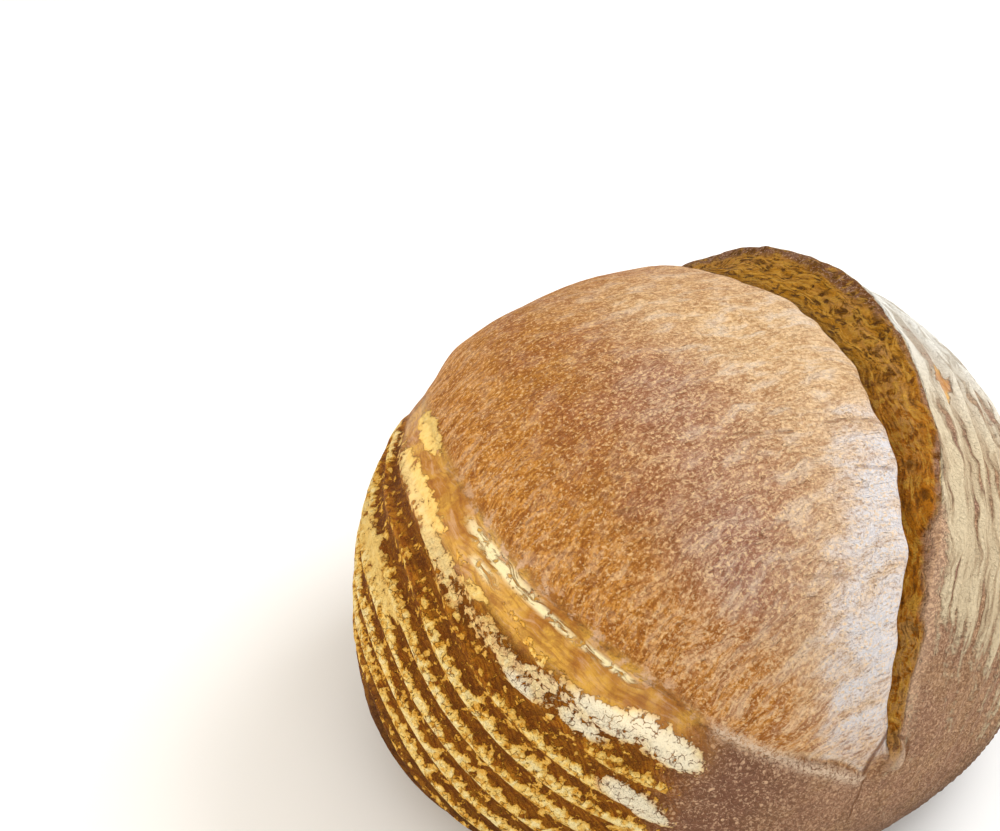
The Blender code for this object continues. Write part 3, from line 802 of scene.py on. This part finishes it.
    # Coats of colour. A row of two starts a part from its first colour, and each row of
    # three lays a colour over it, by a share and its strength. A share is an output, or a
    # noise with the two ends of its step, and a colour is a tint or a part from above.
    mauver = add(LESS, 1.0, add(TIMES, zone.front, 0.6))
    coats = (
        ("left", "left_brown"),
        ((strand, 0.42, 0.58), 1, "left_gold"),
        (zone.groove, 0.65, "groove_brown"),
        ((mottle, 0.54, 0.42), 0.65, "groove_brown"),
        ((curl, 0.55, 0.64), 0.45, "left_gold"),
        ("bare", "front_brown"),
        ((broad, 0.42, 0.58), mauver, "front_mauve"),
        ((mottle, 0.50, 0.40), 0.30, "pit_brown"),
        (zone.dark, 0.62, "dark_mauve"),
        ((curl, 0.52, 0.40), 0.70, "pit_brown"),
        ((curl, 0.52, 0.63), 0.65, "speck_tan"),
        (dot, add(PLUS, 0.18, add(TIMES, zone.dark, 0.72)), "speck_tan"),
        ("raised", "fibre_gold"),
        (add(MORE, zone.tan, zone.mauve), 1, "fibre_pale"),
        ("top", "bloom_gold"),
        ((broad, 0.40, 0.60), 1, "bloom_brown"),
        (zone.tan, 0.9, "bloom_tan"),
        (zone.mauve, 0.9, "bloom_mauve"),
        (zone.gold, 0.9, "shore_gold"),
        ((smear, 0.51, 0.36), 0.26, "bloom_smear"),
        ((smear, 0.48, 0.66), add(PLUS, 0.10, add(TIMES, zone.tan, 0.60)), "bloom_dust"),
        (add(TIMES, zone.gold, add(STEP, comb, 0.53, 0.42)), 0.75, "shore_dark"),
        (add(TIMES, zone.gold, add(STEP, comb, 0.52, 0.60)), 0.6, "shore_pink"),
        # Paler crust with a painted highlight towards the bloom's right edge.
        (zone.pale, 0.55, "bloom_dust"),
        ((mottle, 0.49, 0.38), 0.24, "fibre_dark"),
        ((mottle, 0.51, 0.64), 0.22, "fibre_pale"),
        (white, 1, "bloom_white"),
        ((weave, 0.55, 0.39), add(TIMES, softer, 0.62), "fibre_dark"),
        ((weave, 0.47, 0.62), 0.68, "raised"),
        # Painted highlights: bright flecks that stand in for sparkle on the gluten.
        ((fleck, 0.56, 0.68), 0.60, "glint"),
        ("inside", "crumb_dark"),
        ((crumb, 0.40, 0.51), 1, "crumb_ochre"),
        (zone.orange, 0.6, "crumb_orange"),
        (zone.pale_tear, add(STEP, crumb, 0.44, 0.56), "crumb_pale"),
        ((strand, 0.50, 0.60), 0.78, "crumb_tan"),
        ((strand, 0.47, 0.38), 0.65, "crumb_dark"),
        # Painted shade deep in the gap.
        (zone.deep, 0.72, "crumb_dark"),
        ("strip", "amber"),
        ((broad, 0.42, 0.58), 1, "amber_pale"),
        ((grainy, 0.51, 0.38), 0.50, "left_brown"),
        ((grainy, 0.54, 0.64), 0.45, "shore_pink"),
        ((mottle, 0.52, 0.64), 0.15, "shore_pink"),
        ((mottle, 0.48, 0.38), 0.4, "left_brown"),
        ("rim", "rim_mauve"),
        ((weave, 0.44, 0.58), 1, "speck_tan"),
        ("lip", "lip_brown"),
        ((mottle, 0.40, 0.54), add(PLUS, 0.28, add(TIMES, zone.crack, 0.9)), "lip_mauve"),
        ((curl, 0.52, 0.62), 0.7, "speck_tan"),
        ("valley", "flour_grey"),
        (zone.crack, 1, "flour_tan"),
        ("sheet", "flour_pale"),
        (zone.crack, 1, "flour_ivory"),
        ((lines, 0.54, 0.42), 0.85, "valley"),
        (zone.groove, 0.5, "valley"),
        ("powder", "flour_toast"),
        ((heap, 0.42, 1.05), 1, "flour_yellow"),
        ((heap, 0.95, 1.45), 0.8, "flour_cream"),
        ((clump, 0.48, 0.40), 0.6, "flour_toast"),
        (zone.plate, 0.75, "flour_plate"),
        (zone.cake, 0.9, "flour_white"),
        # Streaks: flour with a painted sheen on the stretched strip.
        (zone.streak, 0.75, "flour_cream"),
        (zone.strand, 1, "sheet"),
        ("loaf", "left"),
        (add(MORE, zone.front, zone.flank), 1, "bare"),
        # Painted shade low on the sides.
        (zone.low, 0.75, "foot_brown"),
        (zone.bloom, 1, "top"),
        (zone.amber, 0.92, "strip"),
        (zone.pink, add(STEP, mottle, 0.50, 0.62), "shore_pink"),
        (zone.ridge, add(STEP, curl, 0.36, 0.56), "ridge_tan"),
        (zone.knob, 0.45, "ridge_tan"),
        (zone.gap, 1, "inside"),
        # Painted shade in the creases.
        (fold, 0.8, "crease_brown"),
        (zone.rim, 0.9, "rim"),
        (zone.lip, add(STEP, crumb, 0.42, 0.52), "lip"),
        (cover, 0.95, "powder"),
    )
    paint = {name: getattr(finish, name) for name in LoafFinish.__annotations__}
    for row in coats:
        if len(row) == 2:
            part, first = row
            paint[part] = paint[first]
            continue
        share, strength, colour = row
        if isinstance(share, tuple):
            share = add(STEP, *share)
        if strength != 1:
            share = add(TIMES, share, strength)
        paint[part] = add(OVER, share, paint[part], paint[colour])

    # Relief in metres: fibres, smears, creases, crumb, specks, and the flour's own edge.
    outer = add(LESS, 1.0, zone.bloom, use_clamp=True)
    bead = add(TIMES, add(PLUS, add(TIMES, dot, 0.3), add(TIMES, curl, 2.0)), outer)
    relief = {}
    for distance, height in (
        (0.0016, add(TIMES, weave, zone.bloom)),
        (0.0016, add(TIMES, smear, zone.bloom)),
        (0.0006, add(LESS, 1.0, fold)),
        (0.0070, add(TIMES, add(MEAN, 0.5, crumb, strand), add(MORE, zone.gap, zone.lip))),
        (0.0006, add(TIMES, bead, add(LESS, 1.0, add(TIMES, zone.amber, 0.8)))),
        (0.0006, add(PLUS, cover, add(TIMES, clump, 1.5))),
    ):
        relief = {"Normal": add(BUMP, {"Distance": distance, "Height": height, **relief})}

    surface = {"Base Color": paint["loaf"], "IOR": 1.45, "Specular IOR Level": 0.12, **relief}
    surface["Roughness"] = add(PLUS, 0.62, add(TIMES, cover, 0.35), use_clamp=True)
    surface["Coat Weight"] = add(TIMES, zone.amber, add(LESS, 0.45, add(TIMES, cover, 0.4)))
    surface["Coat Roughness"] = 0.3
    shader = add(("ShaderNodeBsdfPrincipled", {}, 0), surface)
    add(("ShaderNodeOutputMaterial", {}, 0), {"Surface": shader})
    return material


def amount(name, description, default, **kind):
    """A property for a number that can't be negative."""
    return bpy.props.FloatProperty(name=name, description=description, default=default, min=0.0, **kind)


def tint(line):
    """A name and its property for an sRGB colour, from a line of name, hex code and words."""
    name, code, words = line.split(maxsplit=2)
    label = name.replace("_", " ").capitalize()
    return name, bpy.props.StringProperty(name=label, description=words, default=code, maxlen=7)


DEPTH = {"precision": 5, "subtype": "DISTANCE", "unit": "LENGTH"}


class LoafShape(bpy.types.PropertyGroup):
    """Depths of the crust's relief."""

    ring_depth: amount("Ring depth", "Half height of the basket's rings", 0.0009, **DEPTH)
    bloom_lumps: amount("Bloom lumps", "Height of the lumps in the bloom", 0.0006, **DEPTH)
    tear_depth: amount("Tear depth", "Height of the torn strands in the gap", 0.0012, **DEPTH)
    flour_depth: amount("Flour depth", "Thickness of the flour", 0.00035, **DEPTH)


# The finish: each tint's name, its sRGB hex code and what it colours. The skin low on the sides,
# the creases' depth and the crumb's depths carry painted shade; the brightest flecks are a painted
# highlight; the bloom's floury edge and dusty patches are paler crust with a painted highlight.
TINTS = """
left_brown #8A4A08 Browned skin on the left
left_gold #B8761A Golden skin on the left
groove_brown #5E3004 Skin in the basket's grooves
foot_brown #38200C Skin low on the sides
pit_brown #78523A Fine hollows in the skin
dark_mauve #683A2E Darker skin at the front's left
front_brown #AC8460 Skin at the bare front
front_mauve #A07460 Greyer skin at the front and right
speck_tan #D8B08C Raised specks on the skin
bloom_gold #AC6C1E Golden part of the bloom
bloom_brown #A46230 Browner part of the bloom
bloom_mauve #A27668 Middle of the bloom
bloom_tan #DCB480 Upper right of the bloom
bloom_smear #94582A Browner smears across the bloom
bloom_dust #E8D4BC Dusty patches of the bloom
bloom_white #DFDBDC Floury edge of the bloom
shore_gold #D69036 Bloom along its left shore
shore_dark #955010 Hollows along the left shore
shore_pink #D8AE88 Dusty fibres at the left shore
fibre_gold #D69E50 Raised fibres on the golden part
fibre_pale #E8C8A0 Raised fibres of gluten
fibre_dark #804C20 Hollows between the fibres
glint #F2CC98 Brightest flecks of gluten
crease_brown #6E3E18 Depth of the creases
ridge_tan #DCC0A4 Pale ridge at the bloom's front
crumb_ochre #BC7E12 Torn crumb
crumb_orange #C06C04 Torn crumb low down
crumb_tan #D8A03C Raised strands of crumb
crumb_pale #C8904A Dry crumb on the ledge
crumb_dark #5E3802 Depths of the torn crumb
lip_brown #6E4016 The ear's scorched lip
lip_mauve #B88C74 Greyer parts of the lip
rim_mauve #A88468 Bare skin just outside the lip
amber #B0741E Stretched glossy strip
amber_pale #D6A23C Paler streaks in the strip
flour_yellow #F6D074 Baked flour on the left
flour_toast #D8962A Toasted flour
flour_white #F5EBD0 Thick flour
flour_cream #FAE8AE Crests of the baked flour
flour_ivory #D8C29A Flour at the flap's front
flour_pale #EEEADF Flour on the ear's flap
flour_tan #AA8E6C Thinner flour at the flap's front
flour_plate #EDCB7C Baked flour in plates
flour_grey #B6AA96 Thinner flour on the flap
"""


class LoafFinish(bpy.types.PropertyGroup):
    """Colours of the crust and the flour."""

    __annotations__ = dict(map(tint, TINTS.strip().splitlines()))


class StudioLight(bpy.types.PropertyGroup):
    """The studio."""

    key_power: amount("Key power", "Power of the soft cool key light", 16.0, unit="POWER")
    fill_power: amount("Fill power", "Power of the warm fill from the left", 6.0, unit="POWER")
    air: amount("Air", "Strength of the even light all round", 0.75, subtype="FACTOR")
    floor_colour: tint("floor #F3F1ED Pale floor")[1]


class LOAF_OT_crust(bpy.types.Operator):
    """Make the crust of the loaf, which replaces its solid"""

    bl_idname = "loaf.crust"
    bl_label = "Crust"

    def execute(self, context):
        shape, finish = context.scene.loaf_shape, context.scene.loaf_finish
        inner = np.linspace(-90, 90, ALONG_STEPS + 1)[1:-1]
        share = np.arange(ROUND_STEPS) / ROUND_STEPS
        v, share = np.meshgrid(inner, share, indexing="ij")
        turn = spread_turns(share, v)
        v = np.concatenate([v.ravel(), (-90.0, 90.0)])
        turn = np.concatenate([turn.ravel(), np.zeros(2)])
        points, zones, flow = crust(v, turn, shape)
        middle = 0.5 * (points.min(axis=0) + points.max(axis=0))
        points[:, :2] += (0.5 * (LOW + HIGH) - middle)[:2]
        quads, triangles = closed_grid(len(inner), ROUND_STEPS)
        mesh = make_mesh("crust", points, quads, triangles)
        if len(mesh.vertices) != len(points):
            raise RuntimeError("the crust's grid lost points")
        for name, values in zones.items():
            layer = mesh.attributes.new(name, "FLOAT", "POINT")
            layer.data.foreach_set("value", values.astype(np.float32))
        layer = mesh.attributes.new("flow", "FLOAT_VECTOR", "POINT")
        layer.data.foreach_set("vector", flow.astype(np.float32).ravel())
        mesh.materials.append(crust_material(finish, zones))
        piece = bpy.data.objects.new("crust", mesh)
        SCENE.collection.objects.link(piece)
        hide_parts("loaf")
        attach(piece, "root")
        return {"FINISHED"}


# The camera: its rise and distance from the point it was fitted about, and the pixel
# that this point falls on.
CAMERA_RISE = math.radians(40.5)
CAMERA_DISTANCE = 0.560
CAMERA_LENS = 61.7
SENSOR = 36.0
AIM = Vector((0.0, 0.0, 0.045))
AIM_PIXEL = (697.0, 583.0)
IMAGE = (1000.0, 831.0)


def aim_camera(camera):
    """Place the camera and turn it, level and unshifted, so that AIM falls on its pixel.

    With the pixel's slopes across and down, the ray to AIM rises by (sin pitch - down cos
    pitch) / size, which gives the pitch, and the yaw follows from its level parts.
    """
    ray = Vector((0.0, math.cos(CAMERA_RISE), -math.sin(CAMERA_RISE)))
    camera.location = AIM - CAMERA_DISTANCE * ray
    focal = CAMERA_LENS / SENSOR * IMAGE[0]
    across = (AIM_PIXEL[0] - IMAGE[0] / 2) / focal
    down = (AIM_PIXEL[1] - IMAGE[1] / 2) / focal
    size = math.sqrt(1 + across**2 + down**2)
    pitch = math.asin(ray.z * size / math.sqrt(1 + down**2)) + math.atan(down)
    yaw = math.atan2(across, math.cos(pitch) + down * math.sin(pitch))
    camera.rotation_euler = (math.pi / 2 + pitch, 0.0, yaw)


class LOAF_OT_stage(bpy.types.Operator):
    """Make the pale floor, the soft lights and the camera"""

    bl_idname = "loaf.stage"
    bl_label = "Stage"

    def execute(self, context):
        studio = context.scene.studio_light
        corners = 3.0 * np.array([[-1, -1, 0], [1, -1, 0], [1, 1, 0], [-1, 1, 0]], float)
        mesh = make_mesh("floor", corners, np.array([[0, 1, 2, 3]]), np.zeros((0, 3), int))
        floor = bpy.data.objects.new("floor", mesh)
        paint = bpy.data.materials.new("matt_white_board")
        paint.use_nodes = True
        shader = paint.node_tree.nodes["Principled BSDF"]
        shader.inputs["Base Color"].default_value = linear(studio.floor_colour)
        shader.inputs["Roughness"].default_value = 0.9
        mesh.materials.append(paint)
        SCENE.collection.objects.link(floor)
        # Name, place, side of the square in metres, power, colour.
        lamps = (
            ("window", (0.78, 0.55, 0.95), 0.9, studio.key_power, (0.93, 0.96, 1.0)),
            ("warm_fill", (-0.95, -0.35, 0.55), 0.8, studio.fill_power, (1.0, 0.86, 0.66)),
            ("front_fill", (0.5, -1.0, 0.8), 0.8, 0.5 * studio.fill_power, (1.0, 0.97, 0.93)),
        )
        for name, place, side, power, colour in lamps:
            lamp = bpy.data.lights.new(name, "AREA")
            lamp.energy = power
            lamp.size = side
            lamp.color = colour
            stand = bpy.data.objects.new(name, lamp)
            stand.location = place
            stand.rotation_euler = (AIM - Vector(place)).to_track_quat("-Z", "Y").to_euler()
            SCENE.collection.objects.link(stand)
        SCENE.world = bpy.data.worlds.new("studio")
        SCENE.world.use_nodes = True
        background = SCENE.world.node_tree.nodes["Background"]
        background.inputs["Color"].default_value = (1.0, 1.0, 1.0, 1.0)
        background.inputs["Strength"].default_value = studio.air
        lens = bpy.data.cameras.new("camera")
        lens.lens = CAMERA_LENS
        lens.sensor_width = SENSOR
        lens.clip_start = 0.01
        camera = bpy.data.objects.new("camera", lens)
        SCENE.collection.objects.link(camera)
        aim_camera(camera)
        SCENE.camera = camera
        SCENE.view_settings.view_transform = "Standard"
        return {"FINISHED"}


class LOAF_PT_panel(bpy.types.Panel):
    """The loaf's sizes, colours and steps"""

    bl_idname = "LOAF_PT_panel"
    bl_label = "Sourdough loaf"
    bl_space_type = "VIEW_3D"
    bl_region_type = "UI"
    bl_category = "Loaf"

    def draw(self, context):
        scene = context.scene
        for group in (scene.loaf_shape, scene.loaf_finish, scene.studio_light):
            for name in group.__annotations__:
                self.layout.prop(group, name)
        for operator in (LOAF_OT_crust, LOAF_OT_stage):
            self.layout.operator(operator.bl_idname)


CLASSES = (LoafShape, LoafFinish, StudioLight, LOAF_OT_crust, LOAF_OT_stage, LOAF_PT_panel)


def register():
    for cls in CLASSES:
        bpy.utils.register_class(cls)
    bpy.types.Scene.loaf_shape = bpy.props.PointerProperty(type=LoafShape)
    bpy.types.Scene.loaf_finish = bpy.props.PointerProperty(type=LoafFinish)
    bpy.types.Scene.studio_light = bpy.props.PointerProperty(type=StudioLight)


def unregister():
    del bpy.types.Scene.studio_light
    del bpy.types.Scene.loaf_finish
    del bpy.types.Scene.loaf_shape
    for cls in reversed(CLASSES):
        bpy.utils.unregister_class(cls)


def main():
    register()
    bpy.ops.loaf.crust()
    bpy.ops.loaf.stage()


if __name__ == "__main__":
    main()
